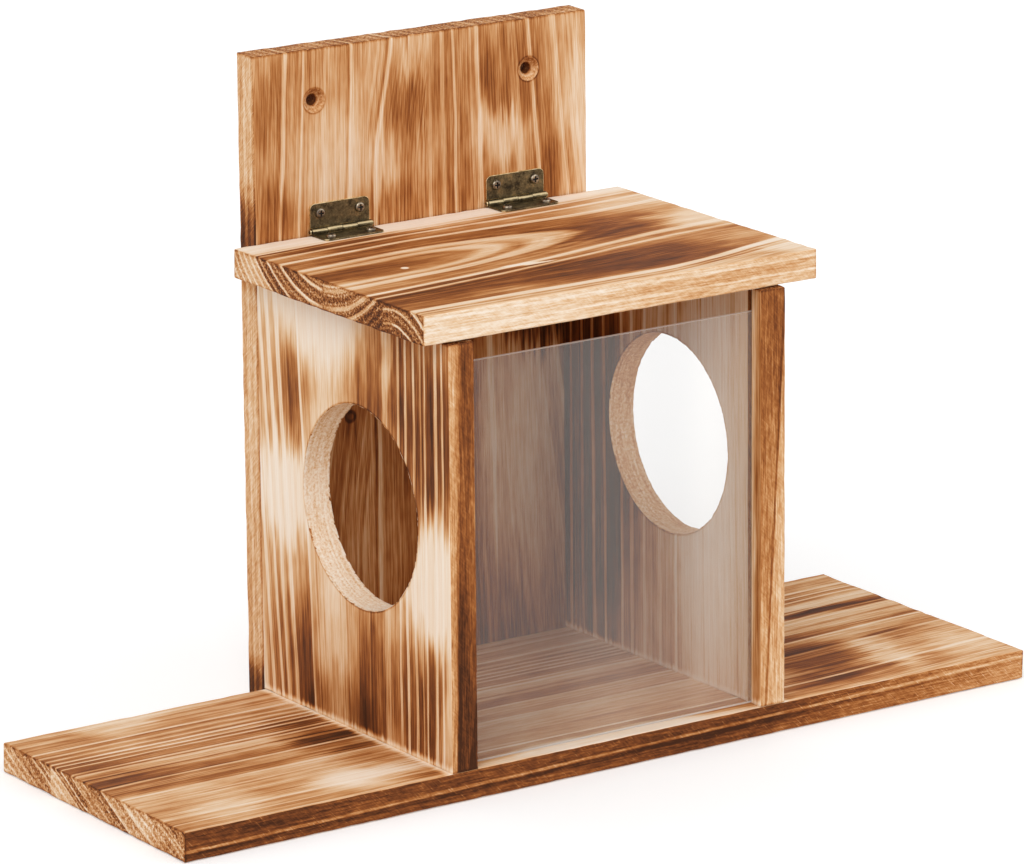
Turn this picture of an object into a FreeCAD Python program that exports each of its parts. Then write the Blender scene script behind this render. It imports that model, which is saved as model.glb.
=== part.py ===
# Squirrel feeder box, in millimetres.
# A wooden box stands on a long base board and is closed at the back by a tall board that is screwed to a
# tree or a wall. Each side wall has a round way in, the front is a clear pane that slides in two grooves,
# and the lid swings up on two small butt hinges.
# +X runs to the right along the base board, +Y from the front to the wall, +Z up. The origin is under the
# middle of the whole feeder, on the surface that the base board stands on.
import FreeCAD, Part
import os
import re
import Sketcher

Vector = FreeCAD.Vector
Rotation = FreeCAD.Rotation

# Driving sizes, each with what it measures
SIZES = {
    "base_length": (400, "base board, end to end"),
    "base_depth": (136, "base board, front edge to the back board"),
    "base_thickness": (12, "base board"),
    "box_width": (158.5, "box and back board, over both side panels"),
    "back_rise": (75.1, "back board above the closed lid"),
    "back_thickness": (12, "back board"),
    "side_height": (170, "side panels"),
    "side_thickness": (12, "side panels"),
    "lid_thickness": (12, "lid"),
    "lid_left_overhang": (11, "lid past the left side panel"),
    "lid_right_overhang": (15, "lid past the right side panel"),
    "lid_back_gap": (0.5, "lid to back board"),
    "lid_rest_gap": (0.9, "lid over the side panels"),
    "board_edge_radius": (0.6, "eased edges of the boards"),
    "entry_diameter": (81.5, "round way in"),
    "entry_setback": (63, "way in, centre to the front edge"),
    "left_entry_height": (92, "left way in, centre over the base board"),
    "right_entry_height": (98.5, "right way in, centre over the base board"),
    "groove_setback": (6.1, "front edge of a side panel to its groove"),
    "groove_depth": (4, "groove for the pane"),
    "pane_thickness": (2, "pane"),
    "pane_face_clearance": (0.3, "pane to each wall of its grooves"),
    "pane_end_clearance": (0.4, "pane to the bottom of each groove"),
    "pane_foot_clearance": (0.3, "pane over the base board"),
    "pane_top_gap": (10.6, "pane to the underside of the closed lid"),
    "pane_edge_radius": (0.25, "polished edges of the pane"),
    "mount_spacing": (102, "mounting holes, centre to centre"),
    "mount_drop": (21, "mounting holes under the top of the back board"),
    "mount_bore": (4.6, "mounting hole"),
    "mount_sink": (9.4, "countersink of a mounting hole"),
    "hinge_spacing": (84, "hinges, centre to centre"),
    "hinge_shift": (1.6, "middle of the two hinges, right of the middle of the box"),
    "hinge_length": (28, "hinge, along its pin"),
    "hinge_clearance": (0.3, "barrels to the boards"),
    "leaf_reach": (11, "pin axis to the far edge of a leaf"),
    "leaf_thickness": (0.7, "hinge leaves"),
    "leaf_corner": (2.4, "rounded corners of a leaf"),
    "knuckle_gap": (0.3, "between neighbouring knuckles"),
    "pin_diameter": (1.3, "hinge pin"),
    "pin_clearance": (0.05, "pin in its knuckles, on the radius"),
    "pin_head_diameter": (2, "peened ends of the pin"),
    "pin_head_length": (0.6, "peened ends of the pin"),
    "leaf_hole_spacing": (18.6, "screw holes of a leaf, centre to centre"),
    "leaf_hole_reach": (7, "pin axis to the screw holes of a leaf"),
    "leaf_hole_clearance": (0.2, "screw in its leaf, on the radius"),
    "leaf_screw_thread": (2, "hinge screw, over the thread"),
    "leaf_screw_core": (1.4, "hinge screw, under the thread"),
    "leaf_screw_length": (9, "hinge screw, under its head"),
    "leaf_screw_pitch": (0.9, "hinge screw"),
    "leaf_screw_head": (4, "hinge screw"),
    "leaf_screw_head_height": (1.1, "hinge screw"),
    "leaf_screw_dome": (0.7, "rounded rim of the head"),
    "leaf_recess_span": (2.5, "cross recess of a hinge screw, over its arms"),
    "leaf_recess_width": (0.7, "cross recess of a hinge screw, each arm"),
    "leaf_recess_depth": (0.8, "cross recess of a hinge screw"),
    "board_screw_thread": (3, "board screw, over the thread"),
    "board_screw_core": (2, "board screw, under the thread"),
    "board_screw_length": (30, "board screw, with its head"),
    "board_screw_pitch": (1.35, "board screw"),
    "board_screw_head": (6, "board screw, flush head"),
    "board_screw_rim": (0.4, "straight rim of the flush head"),
    "board_screw_seat": (0.2, "flush head under the surface of the board"),
    "board_recess_span": (3.7, "cross recess of a board screw, over its arms"),
    "board_recess_width": (1.1, "cross recess of a board screw, each arm"),
    "board_recess_depth": (1.2, "cross recess of a board screw"),
    "sink_angle": (90, "countersinks"),
    "pilot_clearance": (0.1, "screw thread in its hole, on the radius"),
    "pilot_spare": (1, "hole past the tip of its screw"),
    "base_screw_front": (30, "front base screws, to the front edge"),
    "base_screw_back": (30, "rear base screws, to the back board"),
    "back_screw_low": (30, "lower back screws over the base board"),
    "back_screw_high": (30, "upper back screws under the tops of the side panels"),
    "edge_screw_spacing": (50, "screws into the base board's back edge"),
}

# Places that several pieces share, worked out from the sizes
FRONT = "(-(base_depth + back_thickness) / 2)"
WALL = "((base_depth - back_thickness) / 2)"
BOX_LEFT = "(-box_width / 2)"
INNER_WIDTH = "(box_width - 2 * side_thickness)"
LID_DEPTH = "(base_depth - lid_back_gap)"
LID_UNDER = "(base_thickness + side_height + lid_rest_gap)"
LID_TOP = f"({LID_UNDER} + lid_thickness)"
BACK_HEIGHT = f"({LID_TOP} + back_rise)"
GROOVE_BACK = "(groove_setback + pane_thickness + 2 * pane_face_clearance)"
PANE_HEIGHT = "(side_height + lid_rest_gap - pane_top_gap - pane_foot_clearance)"
KNUCKLE_RADIUS = "(pin_diameter / 2 + pin_clearance + leaf_thickness)"
AXIS_OFFSET = f"({KNUCKLE_RADIUS} + hinge_clearance)"
AXIS_Y = f"({WALL} - {AXIS_OFFSET})"
AXIS_Z = f"({LID_TOP} + {AXIS_OFFSET})"
KNUCKLES = 4
KNUCKLE_PITCH = f"((hinge_length + knuckle_gap) / {KNUCKLES})"
HINGE_SIDES = {"left": -1, "right": 1}
SCREW_SPOTS = (-0.5, 0.5)
BOARD_SCREW_TIP = "(2 * board_screw_thread)"
LEAF_SCREW_TIP = "(1.5 * leaf_screw_thread)"
BOARD_PILOT = "(board_screw_thread + 2 * pilot_clearance)"
LEAF_PILOT = "(leaf_screw_thread + 2 * pilot_clearance)"
BOARD_SINK = "(board_screw_head + 2 * board_screw_rim + 2 * board_screw_seat + 2 * pilot_clearance)"
PANEL_SCREW_DEPTH = "(board_screw_length + board_screw_seat + pilot_spare)"
LEAF_SCREW_DEPTH = "(leaf_screw_length - leaf_thickness + pilot_spare)"

# Screws into a side panel: from below at depths from the front edge, from behind at heights over the base
FOOT_SCREW_DEPTHS = ("base_screw_front", "(base_depth - base_screw_back)")
BACK_SCREW_HEIGHTS = ("back_screw_low", "(side_height - back_screw_high)")
EDGE_SCREW_STEPS = (-1, 0, 1)

TURN_DOWN = Rotation()
TURN_TO_WALL = Rotation(Vector(1, 0, 0), 90)
TURN_TO_FRONT = Rotation(Vector(1, 0, 0), -90)
TURN_UP = Rotation(Vector(1, 0, 0), 180)

doc = FreeCAD.newDocument("SquirrelFeederBox")
sheet = doc.addObject("Spreadsheet::Sheet", "Sizes")
sub_parts = []


def fill_sheet():
    """Write each driving size into the sheet and give its cell the size's name."""
    for row, (alias, (size, what)) in enumerate(SIZES.items(), start=1):
        sheet.set(f"A{row}", what)
        sheet.set(f"B{row}", str(size))
        sheet.setAlias(f"B{row}", alias)
    doc.recompute()


def linked(text):
    """An expression on the sheet, from text that uses the plain names of the sizes."""
    return re.sub(r"[a-z_]+", lambda word: f"Sizes.{word[0]}" if word[0] in SIZES else word[0], str(text))


def figure(text):
    """The present value of such an expression."""
    return float(sheet.evalExpression(linked(text)))


def bind(thing, field, text):
    thing.setExpression(field, linked(text))


def place(thing, x, y, z):
    """Put an object's own origin at a point of the feeder."""
    for axis, text in zip("xyz", (x, y, z)):
        bind(thing, f"Placement.Base.{axis}", text)


def new_body(label):
    body = doc.addObject("PartDesign::Body", label)
    body.Label = label
    return body


def new_piece(label, x, y, z):
    """A body that is one sub-part, with its own origin at a point of the feeder."""
    body = new_body(label)
    place(body, x, y, z)
    sub_parts.append(body)
    return body


def origin_item(body, role):
    for item in body.Origin.OriginFeatures:
        if item.Role == role:
            return item


def new_sketch(body, role, offset="0"):
    """A sketch on one of the body's own origin planes, moved along the plane's normal."""
    sketch = body.newObject("Sketcher::SketchObject", "sketch")
    sketch.AttachmentSupport = [(origin_item(body, role), "")]
    sketch.MapMode = "FlatFace"
    if offset != "0":
        bind(sketch, "AttachmentOffset.Base.z", offset)
    return sketch


def hold_point(sketch, edge, point, x, y):
    """Tie a sketch point to its two distances from the sketch's origin."""
    for kind, axis, text in (("DistanceX", -2, x), ("DistanceY", -1, y)):
        if text == "0":
            sketch.addConstraint(Sketcher.Constraint("PointOnObject", edge, point, axis))
            continue
        index = sketch.addConstraint(Sketcher.Constraint(kind, -1, 1, edge, point, figure(text)))
        bind(sketch, f"Constraints[{index}]", text)


def draw_outline(sketch, corners):
    """A closed outline through corners, each a pair of expressions."""
    points = [Vector(figure(x), figure(y), 0) for x, y in corners]
    edges = []
    for start, end in zip(points, points[1:] + points[:1]):
        edges.append(sketch.addGeometry(Part.LineSegment(start, end), False))
    for edge, following in zip(edges, edges[1:] + edges[:1]):
        sketch.addConstraint(Sketcher.Constraint("Coincident", edge, 2, following, 1))
    for edge, (x, y) in zip(edges, corners):
        hold_point(sketch, edge, 1, x, y)


def draw_rectangle(sketch, left, low, right, high):
    draw_outline(sketch, [(left, low), (right, low), (right, high), (left, high)])


def draw_circle(sketch, x, y, diameter):
    middle = Vector(figure(x), figure(y), 0)
    edge = sketch.addGeometry(Part.Circle(middle, Vector(0, 0, 1), figure(diameter) / 2), False)
    hold_point(sketch, edge, 3, x, y)
    index = sketch.addConstraint(Sketcher.Constraint("Diameter", edge, figure(diameter)))
    bind(sketch, f"Constraints[{index}]", diameter)


def settle(body, feature, grows):
    """Make a feature the body's last one, and see that it adds or takes away material."""
    body.Tip = feature
    doc.recompute()
    before = feature.BaseFeature.Shape.Volume if feature.BaseFeature else 0
    change = feature.Shape.Volume - before
    if (change > 0) != grows or abs(change) < 1e-6:
        raise RuntimeError(f"{body.Label}: {feature.Label} changed the volume by {change:.4f}")
    return feature


def add_pad(body, sketch, length, backwards=False):
    pad = body.newObject("PartDesign::Pad", "pad")
    pad.Profile = sketch
    pad.Reversed = backwards
    bind(pad, "Length", length)
    return settle(body, pad, True)


def cut_pocket(body, sketch, depth, backwards=False):
    """Take a sketch's shape out, against the sketch's normal unless it is set backwards."""
    pocket = body.newObject("PartDesign::Pocket", "pocket")
    pocket.Profile = sketch
    pocket.Reversed = backwards
    bind(pocket, "Length", depth)
    return settle(body, pocket, False)


def cut_screw_holes(body, role, offset, backwards, spots, bore, sink):
    """Countersunk holes right through a board, each mouth on the sketch's plane."""
    sketch = new_sketch(body, role, offset)
    for x, y in spots:
        draw_circle(sketch, x, y, bore)
    doc.recompute()
    hole = body.newObject("PartDesign::Hole", "hole")
    hole.Profile = sketch
    doc.recompute()
    hole.Reversed = backwards
    hole.DepthType = "ThroughAll"
    hole.HoleCutType = "Countersink"
    hole.HoleCutCustomValues = True
    bind(hole, "Diameter", bore)
    bind(hole, "HoleCutDiameter", sink)
    bind(hole, "HoleCutCountersinkAngle", "sink_angle")
    return settle(body, hole, False)


def cut_pilot_holes(body, role, offset, backwards, spots, bore, depth):
    """Blind holes for screws, drilled from the sketch's plane."""
    sketch = new_sketch(body, role, offset)
    for x, y in spots:
        draw_circle(sketch, x, y, bore)
    return cut_pocket(body, sketch, depth, backwards)


def round_edges(body, radius, wanted=None):
    """Round the edges of the body's last feature for which wanted says yes."""
    base = body.Tip
    names = []
    for number, edge in enumerate(base.Shape.Edges, start=1):
        if wanted is None or wanted(edge.BoundBox):
            names.append(f"Edge{number}")
    rounding = body.newObject("PartDesign::Fillet", "rounding")
    rounding.Base = (base, names)
    bind(rounding, "Radius", radius)
    return settle(body, rounding, False)


def near(first, second):
    return abs(first - second) < 1e-4


def repeat_cut_downwards(body, cut, pitch, count):
    """Repeat a cut down the body's own Z axis."""
    pattern = body.newObject("PartDesign::LinearPattern", "pattern")
    pattern.Originals = [cut]
    pattern.Direction = (origin_item(body, "Z_Axis"), [""])
    pattern.Reversed = True
    pattern.Mode = "Spacing"
    bind(pattern, "Offset", pitch)
    bind(pattern, "Occurrences", count)
    return settle(body, pattern, False)


def hinge_centre(side):
    """The middle of one hinge along X."""
    return f"({side} * hinge_spacing / 2 + hinge_shift)"


def hinge_hole_offsets():
    """Screw places of both hinges along X, from the middle of the feeder."""
    offsets = []
    for side in HINGE_SIDES.values():
        for spot in SCREW_SPOTS:
            offsets.append(f"({hinge_centre(side)} + {spot} * leaf_hole_spacing)")
    return offsets


def make_base_board():
    """Long board with countersunk holes from below for the side panels' screws."""
    body = new_piece("base_board", "-base_length / 2", FRONT, "0")
    sketch = new_sketch(body, "XY_Plane")
    draw_rectangle(sketch, "0", "0", "base_length", "base_depth")
    add_pad(body, sketch, "base_thickness")
    round_edges(body, "board_edge_radius")
    spots = []
    for side in HINGE_SIDES.values():
        x = f"base_length / 2 + {side} * (box_width - side_thickness) / 2"
        for y in FOOT_SCREW_DEPTHS:
            spots.append((x, y))
    cut_screw_holes(body, "XY_Plane", "0", True, spots, BOARD_PILOT, BOARD_SINK)
    edge_spots = []
    for step in EDGE_SCREW_STEPS:
        edge_spots.append((f"base_length / 2 + {step} * edge_screw_spacing", "base_thickness / 2"))
    depth = f"({PANEL_SCREW_DEPTH} - back_thickness)"
    cut_pilot_holes(body, "XZ_Plane", "-base_depth", True, edge_spots, BOARD_PILOT, depth)


def make_back_board():
    """Tall board: two countersunk mounting holes in front, screw holes behind."""
    body = new_piece("back_board", BOX_LEFT, WALL, "0")
    sketch = new_sketch(body, "XZ_Plane")
    draw_rectangle(sketch, "0", "0", "box_width", BACK_HEIGHT)
    add_pad(body, sketch, "back_thickness", True)
    round_edges(body, "board_edge_radius")
    mount_spots = []
    for side in SCREW_SPOTS:
        mount_spots.append((f"box_width / 2 + {side} * mount_spacing", f"{BACK_HEIGHT} - mount_drop"))
    cut_screw_holes(body, "XZ_Plane", "0", False, mount_spots, "mount_bore", "mount_sink")
    screw_spots = []
    for side in HINGE_SIDES.values():
        x = f"box_width / 2 + {side} * (box_width - side_thickness) / 2"
        for z in BACK_SCREW_HEIGHTS:
            screw_spots.append((x, f"base_thickness + {z}"))
    for step in EDGE_SCREW_STEPS:
        screw_spots.append((f"box_width / 2 + {step} * edge_screw_spacing", "base_thickness / 2"))
    cut_screw_holes(body, "XZ_Plane", "-back_thickness", True, screw_spots, BOARD_PILOT, BOARD_SINK)
    hinge_spots = []
    for x in hinge_hole_offsets():
        hinge_spots.append((f"box_width / 2 + {x}", f"{AXIS_Z} + leaf_hole_reach"))
    cut_pilot_holes(body, "XZ_Plane", "0", False, hinge_spots, LEAF_PILOT, LEAF_SCREW_DEPTH)


def make_side_panel(label, x, entry_height, inner_face, groove_backwards):
    """Side wall with its round way in, and a groove for the pane down its inner face."""
    body = new_piece(label, x, FRONT, "base_thickness")
    sketch = new_sketch(body, "YZ_Plane")
    draw_rectangle(sketch, "0", "0", "base_depth", "side_height")
    add_pad(body, sketch, "side_thickness")
    depth = figure("base_depth")
    height = figure("side_height")

    def free_edge(box):
        front = near(box.YMax, 0)
        top = near(box.ZMin, height) and not near(box.YMin, depth)
        return (front and not near(box.ZMax, 0)) or top

    round_edges(body, "board_edge_radius", free_edge)
    hole = new_sketch(body, "YZ_Plane")
    draw_circle(hole, "entry_setback", entry_height, "entry_diameter")
    cut_pocket(body, hole, "side_thickness", True)
    groove = new_sketch(body, "YZ_Plane", inner_face)
    draw_rectangle(groove, "groove_setback", "0", GROOVE_BACK, "side_height")
    cut_pocket(body, groove, "groove_depth", groove_backwards)
    foot_spots = []
    for y in FOOT_SCREW_DEPTHS:
        foot_spots.append(("side_thickness / 2", y))
    foot_depth = f"({PANEL_SCREW_DEPTH} - base_thickness)"
    cut_pilot_holes(body, "XY_Plane", "0", True, foot_spots, BOARD_PILOT, foot_depth)
    back_spots = []
    for z in BACK_SCREW_HEIGHTS:
        back_spots.append(("side_thickness / 2", z))
    back_depth = f"({PANEL_SCREW_DEPTH} - back_thickness)"
    cut_pilot_holes(body, "XZ_Plane", "-base_depth", True, back_spots, BOARD_PILOT, back_depth)


def make_lid_board():
    """Flat lid, a little wider than the box, with pilot holes for the hinge screws."""
    left = f"({BOX_LEFT} - lid_left_overhang)"
    body = new_piece("lid_board", left, FRONT, LID_UNDER)
    sketch = new_sketch(body, "XY_Plane")
    draw_rectangle(sketch, "0", "0", "(box_width + lid_left_overhang + lid_right_overhang)", LID_DEPTH)
    add_pad(body, sketch, "lid_thickness")
    round_edges(body, "board_edge_radius")
    spots = []
    for x in hinge_hole_offsets():
        spots.append((f"{x} - {left}", f"{AXIS_Y} - leaf_hole_reach - {FRONT}"))
    cut_pilot_holes(body, "XY_Plane", "lid_thickness", False, spots, LEAF_PILOT, LEAF_SCREW_DEPTH)


def make_window_pane():
    """Clear sheet that stands in both grooves and slides up out of them."""
    reach = "(groove_depth - pane_end_clearance)"
    front = f"({FRONT} + groove_setback + pane_face_clearance)"
    left = f"(-{INNER_WIDTH} / 2 - {reach})"
    body = new_piece("window_pane", left, front, "base_thickness + pane_foot_clearance")
    sketch = new_sketch(body, "XZ_Plane")
    draw_rectangle(sketch, "0", "0", f"({INNER_WIDTH} + 2 * {reach})", PANE_HEIGHT)
    add_pad(body, sketch, "pane_thickness", True)
    round_edges(body, "pane_edge_radius")


def hinge_left_end(side):
    return f"({hinge_centre(side)} - hinge_length / 2)"


def make_leaf(label, side, on_lid):
    """One hinge leaf: a plate, two rolled knuckles about the X axis and two screw holes.

    The body's origin is on the pin's axis at the hinge's left end. The plate lies on its board, so it
    stands back from the axis by the knuckle's radius and clearance.
    """
    body = new_piece(label, hinge_left_end(side), AXIS_Y, AXIS_Z)
    role = "XY_Plane" if on_lid else "XZ_Plane"
    near_side = f"(-{AXIS_OFFSET})"
    sign = "-" if on_lid else ""
    plate = new_sketch(body, role, near_side)
    draw_rectangle(plate, "0", "0", "hinge_length", f"{sign}leaf_reach")
    add_pad(body, plate, "leaf_thickness")

    far_edge = figure("leaf_reach")

    def outer_corner(box):
        across = box.YMin if on_lid else box.ZMax
        edge_length = box.ZLength if on_lid else box.YLength
        return near(abs(across), far_edge) and near(edge_length, figure("leaf_thickness"))

    round_edges(body, "leaf_corner", outer_corner)
    own = (0, 2) if on_lid else (1, 3)
    other = (1, 3) if on_lid else (0, 2)
    for slot in other:
        left = f"({slot} * {KNUCKLE_PITCH} - knuckle_gap)"
        right = f"({slot + 1} * {KNUCKLE_PITCH})"
        notch = new_sketch(body, role, f"({near_side} + leaf_thickness)")
        draw_rectangle(notch, left, "0", right, f"{sign}({AXIS_OFFSET})")
        cut_pocket(body, notch, "leaf_thickness")
    for slot in own:
        knuckle = new_sketch(body, "YZ_Plane", f"{slot} * {KNUCKLE_PITCH}")
        draw_circle(knuckle, "0", "0", f"2 * {KNUCKLE_RADIUS}")
        draw_circle(knuckle, "0", "0", "(pin_diameter + 2 * pin_clearance)")
        add_pad(body, knuckle, f"({KNUCKLE_PITCH} - knuckle_gap)")
    holes = new_sketch(body, role, f"({near_side} + leaf_thickness)")
    for spot in SCREW_SPOTS:
        x = f"(hinge_length / 2 + {spot} * leaf_hole_spacing)"
        draw_circle(holes, x, f"{sign}leaf_hole_reach", "(leaf_screw_thread + 2 * leaf_hole_clearance)")
    cut_pocket(body, holes, "leaf_thickness")


def revolve(body, sketch, axis):
    turned = body.newObject("PartDesign::Revolution", "revolution")
    turned.Profile = sketch
    turned.ReferenceAxis = (sketch, [axis])
    turned.Angle = 360
    return settle(body, turned, True)


def make_pin(label, side):
    """Hinge pin with a peened dome at each end, turned about the X axis."""
    body = new_piece(label, hinge_left_end(side), AXIS_Y, AXIS_Z)
    sketch = new_sketch(body, "XZ_Plane")
    shank = "pin_diameter / 2"
    head = "pin_head_diameter / 2"
    left_face = "(-knuckle_gap)"
    right_face = "(hinge_length + knuckle_gap)"
    corners = [
        (f"{left_face} - pin_head_length", "0"),
        (f"{right_face} + pin_head_length", "0"),
        (f"{right_face} + pin_head_length", head),
        (right_face, head),
        (right_face, shank),
        (left_face, shank),
        (left_face, head),
        (f"{left_face} - pin_head_length", head),
    ]
    draw_outline(sketch, corners)
    revolve(body, sketch, "H_Axis")
    ends = (figure(f"{left_face} - pin_head_length"), figure(f"{right_face} + pin_head_length"))

    def end_rim(box):
        return any(near(box.XMin, end) and near(box.XMax, end) for end in ends)

    round_edges(body, "0.7 * pin_head_length", end_rim)


def cut_thread(body, first, pitch, thread, core, turns):
    """A row of V-shaped rings that leaves the crests of a thread, from a depth under the head."""
    sketch = new_sketch(body, "XZ_Plane")
    over = f"({thread} / 2 + 0.1 * {pitch})"
    corners = [
        (f"{core} / 2", f"-{first}"),
        (over, f"-({first} - 0.48 * {pitch})"),
        (over, f"-({first} + 0.48 * {pitch})"),
    ]
    draw_outline(sketch, corners)
    ring = body.newObject("PartDesign::Groove", "ring")
    ring.Profile = sketch
    ring.ReferenceAxis = (sketch, ["V_Axis"])
    ring.Angle = 360
    settle(body, ring, False)
    repeat_cut_downwards(body, ring, pitch, turns)


def cut_recess(body, top, name):
    """Cross recess in the top of a screw head, with its sizes under the screw's name."""
    span = f"({name}_recess_span / 2)"
    arm = f"({name}_recess_width / 2)"
    sketch = new_sketch(body, "XY_Plane", top)
    quarter = [(span, arm), (arm, arm), (arm, span)]
    corners = []
    for along, across in ((1, 1), (-1, 1), (-1, -1), (1, -1)):
        points = quarter if along * across > 0 else quarter[::-1]
        for x, y in points:
            corners.append((f"({along}) * {x}", f"({across}) * {y}"))
    draw_outline(sketch, corners)
    cut_pocket(body, sketch, f"{name}_recess_depth")


def make_board_screw():
    """Countersunk wood screw. Its own origin is on the flush face and it points down."""
    body = new_body("board_screw")
    sketch = new_sketch(body, "XZ_Plane")
    head = "(board_screw_head / 2)"
    thread = "(board_screw_thread / 2)"
    corners = [
        ("0", "0"),
        (head, "0"),
        (head, "-board_screw_rim"),
        (thread, f"-(board_screw_rim + {head} - {thread})"),
        (thread, f"-(board_screw_length - {BOARD_SCREW_TIP})"),
        ("0", "-board_screw_length"),
    ]
    draw_outline(sketch, corners)
    revolve(body, sketch, "V_Axis")
    first = "(0.4 * board_screw_length)"
    turns = f"floor((board_screw_length - {BOARD_SCREW_TIP} - {first}) / board_screw_pitch)"
    cut_thread(body, first, "board_screw_pitch", "board_screw_thread", "board_screw_core", turns)
    cut_recess(body, "0", "board")
    return body


def make_leaf_screw():
    """Round-headed hinge screw. Its own origin is under the head and it points down."""
    body = new_body("leaf_screw")
    sketch = new_sketch(body, "XZ_Plane")
    head = "(leaf_screw_head / 2)"
    thread = "(leaf_screw_thread / 2)"
    corners = [
        ("0", "leaf_screw_head_height"),
        (head, "leaf_screw_head_height"),
        (head, "0"),
        (thread, "0"),
        (thread, f"-(leaf_screw_length - {LEAF_SCREW_TIP})"),
        ("0", "-leaf_screw_length"),
    ]
    draw_outline(sketch, corners)
    revolve(body, sketch, "V_Axis")
    top = figure("leaf_screw_head_height")
    round_edges(body, "leaf_screw_dome", lambda box: near(box.ZMin, top) and near(box.ZMax, top))
    first = "(leaf_thickness + leaf_screw_pitch)"
    turns = f"floor((leaf_screw_length - {LEAF_SCREW_TIP} - {first}) / leaf_screw_pitch)"
    cut_thread(body, first, "leaf_screw_pitch", "leaf_screw_thread", "leaf_screw_core", turns)
    cut_recess(body, "leaf_screw_head_height", "leaf")
    return body


def set_screws(label, screw, turn, spots):
    """One sub-part: a copy of the screw at each of its spots."""
    copies = []
    for x, y, z in spots:
        copy = doc.addObject("App::Link", f"{label}_copy")
        copy.LinkedObject = screw
        copy.Placement = FreeCAD.Placement(Vector(0, 0, 0), turn)
        place(copy, x, y, z)
        copies.append(copy)
    group = doc.addObject("Part::Compound", label)
    group.Label = label
    group.Links = copies
    sub_parts.append(group)


def make_hinge(name, side, leaf_screw):
    """Two leaves, the pin, and the screws of each leaf."""
    make_leaf(f"{name}_hinge_back_leaf", side, False)
    make_leaf(f"{name}_hinge_lid_leaf", side, True)
    make_pin(f"{name}_hinge_pin", side)
    back_spots = []
    lid_spots = []
    for spot in SCREW_SPOTS:
        x = f"({hinge_centre(side)} + {spot} * leaf_hole_spacing)"
        back_spots.append((x, f"{WALL} - leaf_thickness", f"{AXIS_Z} + leaf_hole_reach"))
        lid_spots.append((x, f"{AXIS_Y} - leaf_hole_reach", f"{LID_TOP} + leaf_thickness"))
    set_screws(f"{name}_hinge_back_screws", leaf_screw, TURN_TO_WALL, back_spots)
    set_screws(f"{name}_hinge_lid_screws", leaf_screw, TURN_DOWN, lid_spots)


def set_board_screws(board_screw):
    """Screws that hold the boards together, from below and from behind."""
    behind = f"({WALL} + back_thickness - board_screw_seat)"
    for name, side in HINGE_SIDES.items():
        x = f"({side} * (box_width - side_thickness) / 2)"
        foot_spots = []
        for y in FOOT_SCREW_DEPTHS:
            foot_spots.append((x, f"{FRONT} + {y}", "board_screw_seat"))
        set_screws(f"{name}_panel_base_screws", board_screw, TURN_UP, foot_spots)
        back_spots = []
        for z in BACK_SCREW_HEIGHTS:
            back_spots.append((x, behind, f"base_thickness + {z}"))
        set_screws(f"{name}_panel_back_screws", board_screw, TURN_TO_FRONT, back_spots)
    edge_spots = []
    for step in EDGE_SCREW_STEPS:
        edge_spots.append((f"{step} * edge_screw_spacing", behind, "base_thickness / 2"))
    set_screws("base_back_screws", board_screw, TURN_TO_FRONT, edge_spots)


def write_sub_parts():
    """Stop on any failed object, then write one file per sub-part."""
    doc.recompute()
    for thing in doc.Objects:
        for state in ("Invalid", "Error"):
            if state in thing.State:
                raise RuntimeError(f"{thing.Label} is {state}")
    for thing in sub_parts:
        if thing.Shape.isNull() or not thing.Shape.isValid():
            raise RuntimeError(f"{thing.Label} has no valid shape")
    os.makedirs("parts", exist_ok=True)
    for thing in sub_parts:
        thing.Shape.exportStep(f"parts/{thing.Label}.step")
        box = thing.Shape.BoundBox
        size = f"{box.XLength:.2f} x {box.YLength:.2f} x {box.ZLength:.2f}"
        print(f"{thing.Label}: {len(thing.Shape.Solids)} solids, {size} mm")


fill_sheet()
make_base_board()
make_back_board()
make_side_panel("left_side_panel", BOX_LEFT, "left_entry_height", "side_thickness", False)
make_side_panel("right_side_panel", "(box_width / 2 - side_thickness)", "right_entry_height", "0", True)
make_lid_board()
make_window_pane()
board_screw_body = make_board_screw()
leaf_screw_body = make_leaf_screw()
for hinge_name, hinge_side in HINGE_SIDES.items():
    make_hinge(hinge_name, hinge_side, leaf_screw_body)
set_board_screws(board_screw_body)
write_sub_parts()
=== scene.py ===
# Squirrel feeder box: its looks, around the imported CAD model.
from math import cos, hypot, radians, sin

import bpy
from mathutils import Matrix, Vector, noise


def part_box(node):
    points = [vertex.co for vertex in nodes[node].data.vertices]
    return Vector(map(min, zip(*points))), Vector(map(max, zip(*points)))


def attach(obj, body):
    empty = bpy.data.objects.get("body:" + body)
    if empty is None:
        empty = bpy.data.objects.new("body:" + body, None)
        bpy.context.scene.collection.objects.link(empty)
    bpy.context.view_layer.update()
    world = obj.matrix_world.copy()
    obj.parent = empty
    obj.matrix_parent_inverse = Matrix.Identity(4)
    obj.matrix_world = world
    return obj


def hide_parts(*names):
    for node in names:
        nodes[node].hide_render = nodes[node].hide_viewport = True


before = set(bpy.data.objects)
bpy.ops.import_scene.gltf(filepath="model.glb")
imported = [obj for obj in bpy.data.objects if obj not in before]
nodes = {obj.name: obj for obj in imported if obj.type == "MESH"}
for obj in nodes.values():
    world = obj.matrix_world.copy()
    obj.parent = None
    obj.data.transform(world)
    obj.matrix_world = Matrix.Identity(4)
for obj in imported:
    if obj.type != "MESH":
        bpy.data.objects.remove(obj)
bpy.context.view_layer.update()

MM = 0.001
PHOTO_WIDTH = 1024


def linear(shade):
    """An sRGB hex colour as the linear light that Blender's sockets take."""
    parts = [int(shade[i : i + 2], 16) / 255 for i in (1, 3, 5)]
    return [c / 12.92 if c <= 0.04045 else ((c + 0.055) / 1.055) ** 2.4 for c in parts] + [1.0]


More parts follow.
